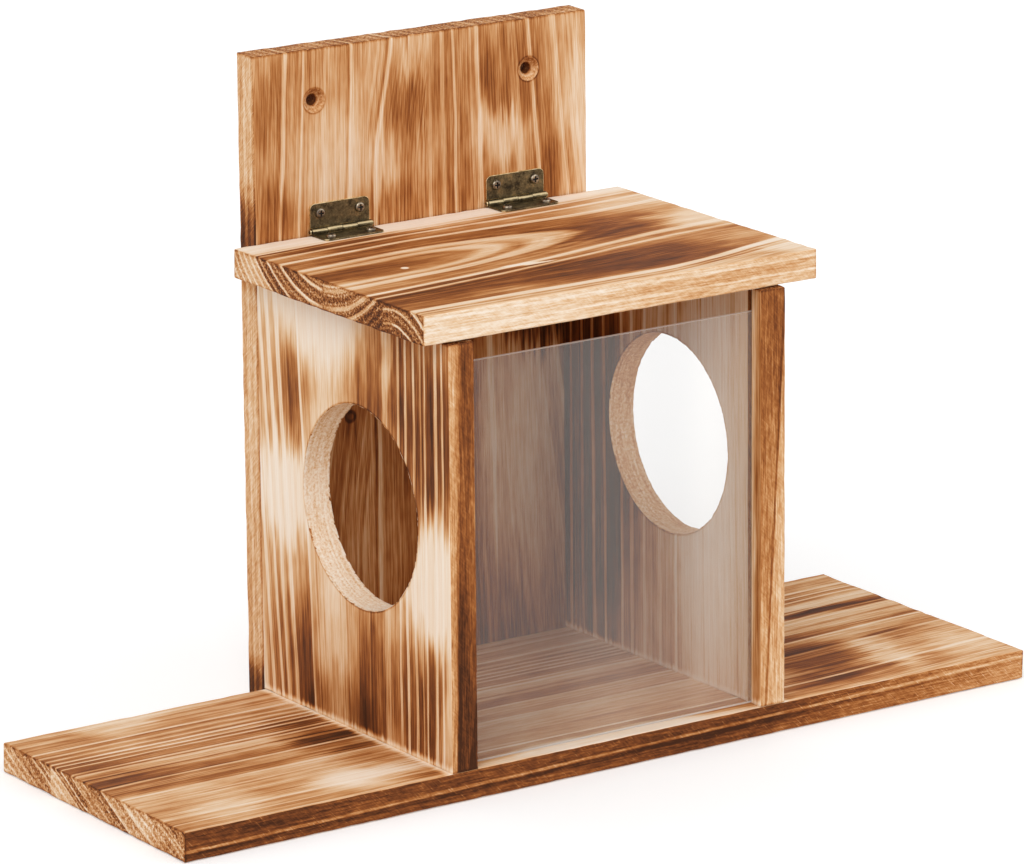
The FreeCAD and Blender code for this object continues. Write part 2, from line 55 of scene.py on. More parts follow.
# Camera, at the place and angle that the photograph's perspective gives
CAMERA_PLACE = Vector((-1400.42, -2073.79, 794.89)) * MM
CAMERA_HEADING, CAMERA_DIP, CAMERA_ROLL = 0.59383, 0.26365, -0.00898
FOCAL_PIXELS = 6556.84

look = Vector((sin(CAMERA_HEADING) * cos(CAMERA_DIP), cos(CAMERA_HEADING) * cos(CAMERA_DIP), -sin(CAMERA_DIP)))
level = look.cross(Vector((0, 0, 1))).normalized()
upward = level.cross(look)
rightward = level * cos(CAMERA_ROLL) + upward * sin(CAMERA_ROLL)
upward = upward * cos(CAMERA_ROLL) - level * sin(CAMERA_ROLL)

camera_data = bpy.data.cameras.new("camera")
camera_data.sensor_width = 36
camera_data.lens = FOCAL_PIXELS * 36 / PHOTO_WIDTH
camera_data.clip_start, camera_data.clip_end = 0.05, 60
camera = bpy.data.objects.new("camera", camera_data)
camera.matrix_world = Matrix.Translation(CAMERA_PLACE) @ Matrix((rightward, upward, -look)).transposed().to_4x4()
bpy.context.scene.collection.objects.link(camera)
bpy.context.scene.camera = camera
bpy.context.scene.view_settings.view_transform = "Standard"


def add_node(tree, kind, inputs=None, stops=None, **settings):
    """Adds one node. inputs gives a socket a value or the socket that feeds it, and stops fill a colour ramp."""
    node = tree.nodes.new("ShaderNode" + kind)
    for name, value in settings.items():
        setattr(node, name, value)
    for name, value in (inputs or {}).items():
        if isinstance(value, bpy.types.NodeSocket):
            tree.links.new(value, node.inputs[name])
        else:
            node.inputs[name].default_value = value
    if stops:
        ramp = node.color_ramp
        while len(ramp.elements) < len(stops):
            ramp.elements.new(1.0)
        for element, (position, colour) in zip(ramp.elements, stops):
            element.position = position
            element.color = colour
    return node


def new_material(name):
    """An empty node material and its tree, with a Principled shader on the output."""
    material = bpy.data.materials.new(name)
    material.use_nodes = True
    tree = material.node_tree
    tree.nodes.clear()
    shader = add_node(tree, "BsdfPrincipled")
    add_node(tree, "OutputMaterial", {"Surface": shader.outputs["BSDF"]})
    return material, tree, shader


# Flame-torched softwood: cream where the flame missed, through orange-tan to charred brown
TORCHED = [
    (0.00, linear("#F6E8D8")),
    (0.14, linear("#EFD8BE")),
    (0.28, linear("#E4BF97")),
    (0.42, linear("#D29C69")),
    (0.55, linear("#B87843")),
    (0.68, linear("#96572B")),
    (0.80, linear("#764122")),
    (0.90, linear("#5F351D")),
    (1.00, linear("#452717")),
]


def band_stops(bands, blur):
    """Growth bands across the grain as ramp stops: bands are (where each starts in mm, how readily it chars, 0 to 1)."""
    low, high = bands[0][0], bands[-1][0] + 6
    stops = [(0.0, [bands[0][1]] * 3 + [1.0])]
    for (_, before), (start, after) in zip(bands, bands[1:]):
        stops.append(((start - blur / 2 - low) / (high - low), [before] * 3 + [1.0]))
        stops.append(((start + blur / 2 - low) / (high - low), [after] * 3 + [1.0]))
    return low, high, stops


def torched_board(
    node, grain, across, face, inward, strips, burns, base=0.42, bores=(), knots_and_hole_shade=(), edge=None,
    ends=(0.3, 0.42, 0.12, 1.9), calm=0.1, painted_inside_shade=None, shield=None,
):
    """Flame-torched softwood for one board, drawn in mm along, across and into it from the face that shows.

    Each strip of the edge-glued board has its own growth rings, which calm evens out. Each burn is a pass of the
    flame, bores are round holes that show raw wood, painted darker toward their top as painted shade, edge and ends say
    how the sawn edges and the end grain took the flame, the inside darkening is painted shade on the inside face below
    the lid, and shield is the corner that the flame didn't reach.
    """
    material, tree, shader = new_material("torched_softwood_" + node)
    depth = ({"X", "Y", "Z"} - {grain, across}).pop()
    place = add_node(tree, "TexCoord")
    in_mm = add_node(tree, "VectorMath", {0: place.outputs["Object"], "Scale": 1000.0}, operation="SCALE")
    apart = add_node(tree, "SeparateXYZ", {0: in_mm.outputs[0]})
    facing = add_node(tree, "SeparateXYZ", {0: place.outputs["Normal"]})

    def maths(operation, *values, clamp=False):
        return add_node(tree, "Math", dict(enumerate(values)), operation=operation, use_clamp=clamp).outputs[0]

    def ease(value, low, high, to_low=0.0, to_high=1.0):
        """value eased from to_low at low to to_high at high."""
        ends_at = {"Value": value, "From Min": low, "From Max": high, "To Min": to_low, "To Max": to_high}
        return add_node(tree, "MapRange", ends_at, interpolation_type="SMOOTHSTEP").outputs[0]

    def joined(*values):
        return add_node(tree, "CombineXYZ", dict(enumerate(values))).outputs[0]

    def mixed(share, first, second):
        return add_node(tree, "Mix", {0: share, 2: first, 3: second}).outputs[0]

    def noise(source, lengths, detail=2.0, roughness=0.5):
        """Noise from 0 to 1 whose grains are lengths mm long in each direction."""
        scaled = add_node(tree, "VectorMath", {0: source, 1: [1 / x for x in lengths]}, operation="MULTIPLY")
        settings = {"Vector": scaled.outputs[0], "Scale": 1.0, "Detail": detail, "Roughness": roughness}
        return add_node(tree, "TexNoise", settings).outputs[0]

    def length(vector):
        return add_node(tree, "VectorMath", {0: vector}, operation="LENGTH").outputs["Value"]

    def toned(value, bands, blur):
        """How readily the growth band at value chars."""
        low, high, stops = band_stops(bands, blur)
        where = add_node(tree, "MapRange", {"Value": value, "From Min": low, "From Max": high}).outputs[0]
        return add_node(tree, "ValToRGB", {0: where}, stops=stops).outputs[0]

    along, side = apart.outputs[grain], apart.outputs[across]
    into = maths("MULTIPLY_ADD", apart.outputs[depth], inward, -face * inward)
    board = joined(along, side, into)
    wobble = maths("MULTIPLY_ADD", noise(board, (120, 26, 26)), 4.0, -2.0)
    wobble = maths("ADD", wobble, maths("MULTIPLY_ADD", noise(board, (34, 9, 9)), 0.9, -0.45))

    ring = band = None
    for strip in strips:
        line = maths("MULTIPLY_ADD", along, strip.get("lean", 0.0), strip.get("centre", 0.0))
        if "bend" in strip:
            start, stop, amount = strip["bend"]
            line = maths("ADD", line, ease(along, start, stop, 0.0, amount))
        off = maths("SUBTRACT", side, line)
        if "fan" in strip:
            rate, level_at = strip["fan"]
            off = maths("MULTIPLY", off, maths("MULTIPLY_ADD", along, rate, 1.0 - rate * level_at))
        off = maths("ADD", off, wobble)
        if "pith" in strip:  # rings around a centre line above the board, or below it where the height is negative
            start, stop, low, high = strip["pith"]
            height = maths("ADD", ease(along, start, stop, low, high), into)
            grown = maths("MULTIPLY", length(joined(off, height)), maths("SIGN", off))
        else:
            grown = maths("MULTIPLY_ADD", into, strip.get("slope", 0.25), off)
        tone = toned(grown, strip["bands"], strip.get("blur", 0.6))
        if "start" in strip:
            beyond = blend = maths("GREATER_THAN", side, strip["start"])
        else:  # the other side of the same rings, which the two sides share more and more deeper in the board
            beyond, spread = maths("GREATER_THAN", off, 0.0), maths("MULTIPLY_ADD", into, 0.8, 0.02)
            blend = ease(off, maths("MULTIPLY", spread, -1.0), spread)
        ring = grown if ring is None else mixed(beyond, ring, grown)
        band = tone if band is None else mixed(blend, band, tone)
    band = maths("MULTIPLY_ADD", band, 1 - calm, calm)

    # The flame's passes are soft patches whose edges run out in streaks along the grain
    streak = noise(board, (70, 2.0, 2.0), 3.0, 0.6)
    cloud = noise(board, (70, 26, 9), 3.0, 0.5)
    tongue = noise(board, (30, 6, 6), 2.0, 0.6)
    reach_shift = maths("MULTIPLY_ADD", tongue, 22.0, maths("MULTIPLY_ADD", streak, 34.0, -28.0))
    shift = joined(reach_shift, maths("MULTIPLY_ADD", cloud, 24.0, -12.0))
    swept = add_node(tree, "VectorMath", {0: board, 1: shift}, operation="ADD").outputs[0]
    burn = maths("MULTIPLY_ADD", cloud, 0.4, base - 0.2)
    for middle, reach, strength in burns:
        settings = {"Vector": swept, "Location": middle, "Scale": reach}
        spot = add_node(tree, "Mapping", settings, vector_type="TEXTURE").outputs[0]
        ball = add_node(tree, "TexGradient", {0: spot}, gradient_type="SPHERICAL").outputs["Fac"]
        burn = maths("ADD", burn, ease(ball, 0.0, 0.7, 0.0, strength))
    mottle = noise(board, (15, 5, 5), 2.0, 0.6)
    burn = maths("MULTIPLY_ADD", maths("SUBTRACT", mottle, 0.5), 0.3, burn)
    # Painted shade: the inside face is darkened below the lid, fading out from start to stop mm, where the box's inside
    # lies in shade
    if painted_inside_shade:
        start, stop, share = painted_inside_shade
        inside = maths("MULTIPLY", ease(along, start, stop, share, 0.0), ease(into, 3.0, 9.0, 1.0, 0.0))
        burn = maths("ADD", burn, inside)
    burn = maths("MULTIPLY_ADD", streak, 0.36, maths("SUBTRACT", burn, 0.18), clamp=True)

    # Fibres and the fine lines that follow the rings
    fibre = noise(board, (22, 0.6, 0.6), 3.0, 0.65)
    thread = noise(joined(along, ring, into), (240, 1.3, 6), 3.0, 0.6)
    char = maths("MULTIPLY_ADD", burn, 0.2, maths("MULTIPLY_ADD", band, 0.7, 0.12))
    char = maths("MULTIPLY", burn, char)
    char = maths("MULTIPLY_ADD", band, 0.1, char)
    lines = maths("SUBTRACT", maths("ADD", fibre, thread), 1.0)
    char = maths("MULTIPLY_ADD", lines, maths("MULTIPLY_ADD", burn, 0.5, 0.3), char)
    if shield:
        at, reach, share, deep = shield
        away = maths("ABSOLUTE", along)
        uneven = maths("MULTIPLY_ADD", streak, 5.0, maths("SUBTRACT", away, 2.5))
        bare = maths("MULTIPLY", ease(uneven, at, at + reach, share, 0.0), ease(away, at - 2, at - 0.5))
        bare = maths("MULTIPLY", bare, ease(into, deep, deep + 3, 1.0, 0.0))
        char = maths("MULTIPLY", char, maths("SUBTRACT", 1.0, bare))

    # Sawn edges carry the blade's slanted scratches
    if edge:
        deep = apart.outputs[depth]
        start, stop, low, high = edge["burn"]
        through = maths("MULTIPLY_ADD", wobble, 0.3, maths("MULTIPLY_ADD", along, edge.get("lean", 0.0), deep))
        if "wedge" in edge:
            middle, least_width, rate = edge["wedge"]
            width = maths("MULTIPLY_ADD", along, rate, least_width)
            through = maths("DIVIDE", maths("SUBTRACT", through, middle), width)
        tone = toned(through, edge["bands"], edge.get("blur", 0.6))
        scorch = maths("MULTIPLY_ADD", cloud, 0.5, ease(along, start, stop, low - 0.25, high - 0.25))
        for at, reach, strength in edge.get("spots", ()):
            scorch = maths("ADD", scorch, ease(maths("ABSOLUTE", maths("SUBTRACT", along, at)), 0.0, reach, strength, 0.0))
        edge_char = maths("MULTIPLY", scorch, maths("MULTIPLY_ADD", tone, 0.75, 0.25))
        edge_char = maths("MULTIPLY_ADD", maths("SUBTRACT", fibre, 0.5), 0.6, edge_char)
        slant = joined(maths("SUBTRACT", along, deep), maths("ADD", along, deep))
        fleck = noise(joined(along, deep), (5, 1.2, 1), 3.0, 0.7)
        edge_char = maths("MULTIPLY_ADD", maths("SUBTRACT", fleck, 0.5), 0.6, edge_char)
        kerf = noise(slant, (10, 0.75, 1), 2.0, 0.6)
        edge_char = maths("MULTIPLY_ADD", maths("SUBTRACT", kerf, 0.5), edge.get("kerf", 0.35), edge_char)
        scratch = ease(noise(slant, (9, 0.5, 1), 2.0, 0.6), 0.6, 0.74)
        edge_char = maths("MULTIPLY_ADD", scratch, -edge.get("scratch", 0.2), edge_char)
        on_edge = ease(maths("ABSOLUTE", facing.outputs[across]), 0.55, 0.9)
        char = mixed(on_edge, char, edge_char)

    # End grain drinks the flame: rings stay, streaks go, and the pores show as grit
    grit = noise(board, (3, 1.1, 0.9), 3.0, 0.75)
    least, more, pale, rate = ends
    rings = maths("MULTIPLY_ADD", maths("SINE", maths("MULTIPLY", ring, rate)), 0.5, 0.5)
    rings = maths("POWER", rings, 2.5)
    end_char = maths("MULTIPLY_ADD", band, more, maths("MULTIPLY_ADD", rings, -pale, least))
    pits = maths("MULTIPLY", maths("SUBTRACT", grit, 0.47), maths("MULTIPLY_ADD", band, 1.8, 0.5))
    end_char = maths("ADD", pits, end_char)
    end_char = maths("MULTIPLY_ADD", maths("SUBTRACT", cloud, 0.5), 0.5, end_char)
    on_end = ease(maths("ABSOLUTE", facing.outputs[grain]), 0.55, 0.9)
    char = mixed(on_end, char, end_char)

    # The flame bites deepest along the arrises of the end grain
    low, high = [[value / MM for value in corner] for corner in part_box(node)]
    to_face = {}
    for number, axis in enumerate("XYZ"):
        middle, half = (low[number] + high[number]) / 2, (high[number] - low[number]) / 2
        out = maths("ABSOLUTE", maths("SUBTRACT", apart.outputs[axis], middle))
        to_face[axis] = maths("SUBTRACT", half, out)
    arris = maths("MAXIMUM", to_face[grain], maths("MINIMUM", to_face[across], to_face[depth]))
    bitten = ease(maths("MULTIPLY_ADD", grit, 1.2, arris), 0.6, 1.9, 0.34, 0.0)
    char = maths("MULTIPLY_ADD", bitten, maths("MULTIPLY_ADD", tongue, 1.6, -0.2), char)

    # Bored holes show raw, fibrous wood, painted darker toward the top of the hole: painted shade on the wall that
    # faces down
    for (bore_along, bore_side), radius, tone in bores:
        out = length(joined(maths("SUBTRACT", along, bore_along), maths("SUBTRACT", side, bore_side)))
        bare = ease(along, bore_along - radius * 0.3, bore_along + radius, tone, tone + 0.16)
        bare = maths("MULTIPLY_ADD", maths("SUBTRACT", noise(board, (1.2, 0.9, 0.9), 3.0, 0.7), 0.5), 0.9, bare)
        bare = maths("MULTIPLY_ADD", maths("SUBTRACT", noise(board, (26, 26, 1.1)), 0.5), 0.5, bare)
        char = maths("ADD", char, ease(out, radius + 0.3, radius + 1.2, 0.2, 0.0))
        char = mixed(ease(out, radius + 0.1, radius + 0.35, 1.0, 0.0), char, bare)
    # Knots, and at the back board's mount holes a dark core that is painted shade inside the screw hole
    for (mark_along, mark_side), radius, core, tone in knots_and_hole_shade:
        out = length(joined(maths("SUBTRACT", along, mark_along), maths("SUBTRACT", side, mark_side)))
        eye = maths("MULTIPLY", ease(out, radius * 0.4, radius * 0.8, core, 1.0), ease(out, radius, radius + 1, 1.0, 0.0))
        if tone < 0:  # a pale dent, in the face only
            eye = maths("MULTIPLY", eye, ease(into, 1.0, 3.0, 1.0, 0.0))
        char = maths("MULTIPLY_ADD", eye, tone, char)

    colour = add_node(tree, "ValToRGB", {0: char}, stops=TORCHED).outputs[0]
    tree.links.new(colour, shader.inputs["Base Color"])
    rough = add_node(tree, "MapRange", {"Value": char, "To Min": 0.7, "To Max": 0.58}).outputs[0]
    tree.links.new(rough, shader.inputs["Roughness"])
    relief = maths("MULTIPLY_ADD", band, -0.4, maths("MULTIPLY", fibre, 0.6))
    relief = maths("MULTIPLY_ADD", grit, maths("MULTIPLY", on_end, 1.5), relief)
    bump = add_node(tree, "Bump", {"Height": relief, "Distance": 0.0003, "Strength": 0.6})
    tree.links.new(bump.outputs[0], shader.inputs["Normal"])
    shader.inputs["Specular IOR Level"].default_value = 0.05
    return material


def dress(node, material):
    """Gives a CAD node its material."""
    mesh = nodes[node].data
    mesh.materials.clear()
    mesh.materials.append(material)


PANEL_FRONT = {
    "start": -90, "slope": 0.3,
    "bands": [
        (-76, 0.85), (-69.6, 0.15), (-68, 0.85), (-65.3, 0.12), (-63.2, 0.9), (-57.8, 0.15), (-56.5, 0.85),
        (-54.8, 0.3), (-53.8, 0.9), (-50.6, 0.22), (-48.8, 0.9), (-45, 0.1), (-43.4, 0.9), (-40, 0.12), (-38.6, 0.75),
    ],
}
PANEL_FRONT_WIDE = {
    "start": -39, "slope": 0.3,
    "bands": [(-39.2, 0.12), (-38.4, 0.75), (-31.5, 0.35), (-27.5, 0.78), (-21, 0.88), (-17, 0.75), (-12.5, 0.9), (-2, 0.9)],
}
PANEL_BACK = {
    "start": -9, "centre": -29, "fan": (-0.0011, 160), "slope": -0.2,
    "bands": [
        (20, 0.58), (34, 0.48), (50, 0.6), (56, 0.5), (60, 0.08), (61.8, 0.88), (70, 0.75), (75, 0.1), (78, 0.8),
        (82, 0.12), (85, 0.75), (88, 0.15), (90.5, 0.75), (95, 0.15), (97.5, 0.65), (101, 0.25),
    ],
}
left_side = torched_board(
    "left_side_panel", "Z", "Y", -79.25, 1,
    strips=[PANEL_FRONT, PANEL_FRONT_WIDE, PANEL_BACK],
    base=0.45,
    burns=[
        ((138, -64, 0), (42, 40, 9), 0.34),
        ((176, -60, 0), (24, 34, 9), 0.12),
        ((162, -24, 0), (44, 34, 9), 0.26),
        ((167, -30, 0), (24, 5, 9), -0.3),
        ((84, -63, 0), (36, 30, 9), -0.6),
        ((46, -74, 0), (50, 6, 9), -0.25),
        ((30, -19, 0), (48, 22, 9), 0.3),
        ((30, -52, 0), (44, 30, 9), 0.3),
        ((182, 18, 0), (40, 56, 9), -0.55),
        ((142, 38, 0), (34, 16, 9), 0.2),
        ((98, 44, 0), (28, 34, 9), -0.55),
        ((96, 12, 0), (60, 20, 9), -0.24),
        ((26, 29, 0), (50, 13, 9), 0.3),
        ((24, 46, 0), (50, 18, 9), 0.28),
        ((16, 6, 0), (28, 32, 9), 0.28),
        ((90, 10, 12), (140, 120, 8), 0.3),
    ],
    bores=[((104, -11), 40.75, 0.13)],
    edge={
        "wedge": (-77.4, 0.4, 0.018), "blur": 0.5, "scratch": 0.1, "kerf": 0.2,
        "bands": [(-9, 0.3), (0.4, 0.5), (1, 0.85), (3, 0.7), (9, 0.9)], "burn": (20, 150, 1.05, 0.82),
    },
    calm=0.08, shield=(12, 3.5, 0.8, 20),
)
right_side = torched_board(
    "right_side_panel", "Z", "Y", 67.25, 1,
    strips=[
        {"start": -90, "lean": 0.02, "bands": [(-80, 0.5), (-70, 0.3), (-60, 0.6), (-57, 0.3), (-48, 0.5), (-45, 0.25), (-37, 0.95), (-36, 0.35), (-28, 0.5), (-22, 0.3)]},
        {"start": -24, "slope": 0.3, "bands": [(-30, 0.6), (-20, 0.9), (-17, 0.2), (-15, 0.8), (-6, 0.3), (-4, 0.8), (4, 0.25), (6, 0.9), (13, 0.3), (15, 0.8), (20, 0.2), (22, 0.9), (32, 0.3), (34, 0.9)]},
        {"start": 36, "slope": 0.3, "bands": [(30, 0.9), (40, 0.25), (42, 0.9), (48, 0.4), (50, 0.8), (56, 0.3), (58, 0.9)]},
    ],
    burns=[
        ((90, 50, 0), (130, 62, 9), 0.5),
        ((90, -36, 0), (100, 36, 9), -0.3),
        ((97, -73, 0), (160, 8, 9), 0.4),
        ((156, 34, 12), (40, 34, 8), 0.4),
        ((150, -52, 12), (44, 22, 8), 0.3),
        ((96, -66, 12), (36, 22, 8), -0.4),
        ((84, 50, 12), (44, 24, 8), -0.35),
        ((34, -34, 12), (44, 34, 8), 0.4),
        ((30, 36, 12), (36, 26, 8), 0.35),
        ((176, -14, 12), (30, 30, 8), -0.4),
    ],
    bores=[((110.5, -11), 40.75, 0.33)],
    edge={
        "lean": -0.055, "blur": 0.7, "scratch": 0.08, "kerf": 0.2,
        "bands": [(50, 0.6), (67.8, 0.62), (68.6, 0.9), (69.6, 0.35), (76, 0.3), (90, 0.3)], "burn": (15, 180, 0.58, 0.95),
    },
    calm=0.1, shield=(12, 3.5, 0.8, 20),
)
back_board = torched_board(
    "back_board", "Z", "X", 62, 1,
    strips=[
        {
            "start": -90, "centre": -12, "bend": (60, 170, 12), "fan": (0.0009, 205),
            "bands": [
                (-84, 0.5), (-74, 0.62), (-69.6, 0.8), (-68.4, 0.25), (-66, 0.75), (-59.4, 0.2), (-58, 0.8), (-55, 0.6),
                (-49, 0.35), (-46, 0.5), (-37.5, 0.9), (-36, 0.15), (-34, 0.65), (-28, 0.4), (-26.5, 0.55),
            ],
        },
        {
            "start": -27, "centre": -24, "bend": (212, 285, 9), "fan": (0.0009, 205),
            "bands": [(-3, 0.55), (-1, 0.85), (0.4, 0.1), (2, 0.7), (7, 0.6), (12, 0.68), (19, 0.6), (25, 0.66), (32, 0.7)],
        },
        {
            "start": 2, "fan": (0.0012, 260),
            "bands": [
                (-3, 0.65), (2.6, 0.4), (4.2, 0.7), (8.4, 0.35), (10, 0.85), (13.8, 0.15), (15.2, 0.8), (20, 0.6), (25, 0.12),
                (27, 0.8), (33, 0.6),
            ],
        },
        {
            "start": 34, "fan": (0.0016, 225),
            "bands": [
                (29, 0.75), (36, 0.55), (39, 0.7), (44, 0.5), (48, 0.75), (53.4, 0.2), (55.2, 0.85), (61.5, 0.6),
                (65, 0.25), (68, 0.75), (71.5, 0.45), (80, 0.5),
            ],
        },
    ],
    base=0.53,
    burns=[
        ((242, -5, 0), (26, 22, 9), 0.14),
        ((264, -6, 0), (16, 14, 9), -0.2),
        ((224, -46, 0), (30, 26, 9), -0.2),
        ((222, -17, 0), (20, 14, 9), -0.26),
        ((224, 38, 0), (16, 18, 9), -0.26),
        ((202, 6, 0), (14, 60, 9), 0.1),
        ((226, 76, 0), (50, 12, 9), -0.28),
        ((250, 40, 0), (26, 24, 9), 0.14),
        ((250, -74, 0), (24, 12, 9), 0.2),
        ((204, -72, 0), (22, 14, 9), 0.25),
        ((206, 66, 0), (20, 16, 9), 0.15),
        ((70, -22, 0), (70, 30, 9), -0.16),
        ((96, 46, 0), (90, 34, 9), -0.4),
        ((150, 54, 0), (26, 18, 9), 0.6),
        ((236, -54, 12), (50, 30, 8), 0.35),
        ((210, 40, 12), (46, 40, 8), 0.3),
        ((150, -20, 12), (60, 30, 8), -0.35),
        ((96, 56, 12), (50, 26, 8), -0.35),
        ((104, -60, 12), (60, 26, 8), 0.35),
        ((36, 10, 12), (50, 60, 8), 0.35),
        ((40, -70, 12), (40, 20, 8), -0.3),
        ((262, 10, 12), (24, 34, 8), -0.35),
    ],
    # Painted shade on the inside face below the lid
    painted_inside_shade=(178, 186, 0.26),
    bores=[((249, -51), 4.7, 0.42), ((249, 51), 4.7, 0.42)],
    # The first knot is real; the two at the mount holes darken the bore as painted shade
    knots_and_hole_shade=[((118, -36.3), 2.2, 0.3, 0.3), ((249, -51), 1.9, 1.0, 0.45), ((249, 51), 1.9, 1.0, 0.45)],
    edge={
        "bands": [(50, 0.7), (62.6, 0.5), (63.6, 0.25), (66, 0.35), (68, 0.2), (70, 0.42), (80, 0.4)],
        "burn": (0, 270, 0.72, 0.68), "spots": [(196, 26, 1.0), (12, 16, 0.9)], "scratch": 0.2, "kerf": 0.45,
    },
    ends=(0.36, 0.3, 0.16, 1.2),
    calm=0.18,
)
lid_board = torched_board(
    "lid_board", "X", "Y", 194.9, -1,
    strips=[
        {
            "start": -90, "centre": -53, "bend": (20, 110, 16), "pith": (-90, 100, -30, -30), "blur": 0.3,
            "bands": [
                (-40, 0.4), (-36.3, 0.25), (-35.8, 0.8), (-35, 0.4), (-34.3, 1.0), (-33.7, 0.02), (-32, 0.9),
                (-28.6, 0.15), (-27.6, 0.9), (-23, 0.15), (-22, 0.85), (22, 0.15), (23, 0.85), (27.6, 0.15),
                (28.6, 0.92), (34, 0.92),
            ],
        },
        {
            "start": -46, "centre": 3, "lean": 0.078, "pith": (-50, 70, 40, 45.8), "blur": 0.5,
            "bands": [
                (-75, 0.92), (-62, 0.95), (-56.4, 0.85), (-55.2, 0.15), (-53.8, 0.98), (-51.4, 0.05),
                (-49.6, 0.9), (-44.6, 0.25), (-42.9, 0.85), (-42.2, 0.3), (-41.2, 0.8), (-20, 0.85),
            ],
        },
        {
            "centre": 3, "lean": 0.078, "pith": (-50, 70, 40, 45.8), "blur": 0.5,
            "bands": [
                (30, 0.85), (41.2, 0.3), (42.2, 0.85), (42.9, 0.22), (44.6, 0.9), (50, 0.12), (51.6, 0.85), (54.6, 0.75),
                (56.2, 0.2), (57.4, 0.95), (60.6, 0.3), (61.4, 0.9), (63, 0.15), (74, 0.3),
            ],
        },
    ],
    base=0.5,
    burns=[
        ((0, -47, 0), (160, 24, 9), 0.3),
        ((90, -44, 0), (40, 26, 9), -0.25),
        ((-72, -2, 0), (60, 16, 9), 0.22),
        ((48, 4, 0), (46, 24, 9), 0.26),
        ((-20, 24, 0), (90, 14, 9), 0.16),
        ((-60, 40, 0), (60, 12, 9), 0.26),
        ((96, 0, 0), (40, 22, 9), -0.42),
        ((88, 34, 0), (40, 20, 9), -0.22),
        ((98, -62, 0), (24, 20, 9), -0.3),
        ((0, 58, 0), (170, 16, 9), -0.5),
        ((-12, -30.5, 0), (13, 4, 5), -0.8),
    ],
    knots_and_hole_shade=[((-53.5, -5.5), 1.1, 1.0, -0.55)],
    ends=(0.26, 0.5, 0.24, 1.9),
    edge={
        "bands": [(170, 0.5), (185, 0.45), (187, 0.1), (188, 0.5), (192, 0.15), (193.2, 0.4), (200, 0.3)],
        "burn": (-90, 90, 0.32, 0.55), "scratch": 0.08, "kerf": 0.2,
    },
    calm=0.06,
)
base_board = torched_board(
    "base_board", "X", "Y", 12, -1,
    strips=[
        {
            "start": -90, "bend": (90, 200, 7), "slope": 1.9,
            "bands": [
                (-84, 0.4), (-72, 0.75), (-66, 0.4), (-65, 0.8), (-58.8, 0.1), (-57, 0.6), (-48, 0.8), (-45, 0.5),
                (-33, 0.35), (-28.2, 0.1), (-26.5, 0.65), (-20, 0.45), (-13.2, 0.08), (-11.8, 0.9), (-3, 0.5),
            ],
        },
        {
            "start": -2, "bend": (90, 200, 7), "slope": 1.9,
            "bands": [
                (-3, 0.5), (-0.5, 0.9), (1, 0.4), (6, 0.1), (8, 0.6), (10, 0.2), (11.2, 0.75), (13.6, 0.9), (17.6, 0.15),
                (18.8, 0.85), (21.4, 0.15), (22.6, 0.8), (25, 0.2),
            ],
        },
        {
            "start": 25, "bend": (90, 200, 7), "slope": 1.9,
            "bands": [
                (25, 0.2), (26.5, 0.75), (29, 0.2), (30.4, 0.8), (33.6, 0.25), (35, 0.75), (39, 0.1), (41, 0.6),
                (45, 0.75), (50, 0.4), (53, 0.7), (57, 0.4),
            ],
        },
    ],
    base=0.53,
    burns=[
        ((-106, -57, 0), (34, 18, 8), -0.5),
        ((-172, -56, 0), (26, 20, 8), -0.25),
        ((-152, 56, 0), (26, 14, 8), -0.3),
        ((-92, -8, 0), (26, 44, 8), 0.4),
        ((-94, -64, 0), (20, 8, 8), 0.3),
        ((-196, 5, 0), (40, 40, 8), 0.22),
        ((-160, -20, 0), (60, 16, 8), 0.2),
        ((120, -30, 0), (36, 24, 8), 0.55),
        ((118, -56, 0), (34, 12, 8), 0.35),
        ((172, 18, 0), (50, 7, 8), 0.5),
        ((188, -50, 0), (24, 22, 8), -0.3),
        ((152, -46, 0), (12, 28, 8), -0.25),
        ((120, -8, 0), (40, 10, 8), 0.2),
        ((176, -22, 0), (20, 8, 8), 0.3),
        ((0, -72, 0), (90, 9, 6), -0.5),
    ],
    edge={
        "lean": -0.014, "blur": 0.6, "scratch": 0.3, "kerf": 0.3,
        "bands": [(-10, 0.75), (4.2, 0.95), (6.0, 0.4), (7.2, 0.78), (20, 0.7)], "burn": (60, 190, 0.98, 0.6),
    },
    ends=(0.22, 0.42, 0.2, 0.8),
    calm=0.1, shield=(79.25, 4, 0.75, 3),
)


def clean_copy(node, name, body, material):
    """A merged copy of a CAD node as a piece of its own, which stands for the node, left in edit mode."""
    piece = bpy.data.objects.new(name, nodes[node].data.copy())
    bpy.context.scene.collection.objects.link(piece)
    piece.data.materials.clear()
    piece.data.materials.append(material)
    bpy.ops.object.select_all(action="DESELECT")
    piece.select_set(True)
    bpy.context.view_layer.objects.active = piece
    bpy.ops.mesh.customdata_custom_splitnormals_clear()
    bpy.ops.object.mode_set(mode="EDIT")
    bpy.ops.mesh.select_all(action="SELECT")
    bpy.ops.mesh.remove_doubles(threshold=0.000005)
    bpy.ops.mesh.dissolve_limited(angle_limit=radians(0.3))
    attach(piece, body)
    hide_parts(node)
    return piece


def soften(piece, bevel=None):
    """Ends the edit, rounds the sharp edges by bevel mm if given, and evens the normals."""
    bpy.ops.object.mode_set(mode="OBJECT")
    if bevel:
        bpy.ops.object.modifier_add(type="BEVEL")
        rounding = piece.modifiers[-1]
        rounding.width, rounding.segments, rounding.limit_method = bevel * MM, 2, "ANGLE"
        rounding.angle_limit = radians(40)
        bpy.ops.object.modifier_apply(modifier=rounding.name)
    bpy.ops.object.shade_smooth_by_angle(angle=radians(35))
    bpy.ops.object.modifier_add(type="WEIGHTED_NORMAL")
    piece.modifiers[-1].keep_sharp = True
    bpy.ops.object.modifier_apply(modifier=piece.modifiers[-1].name)


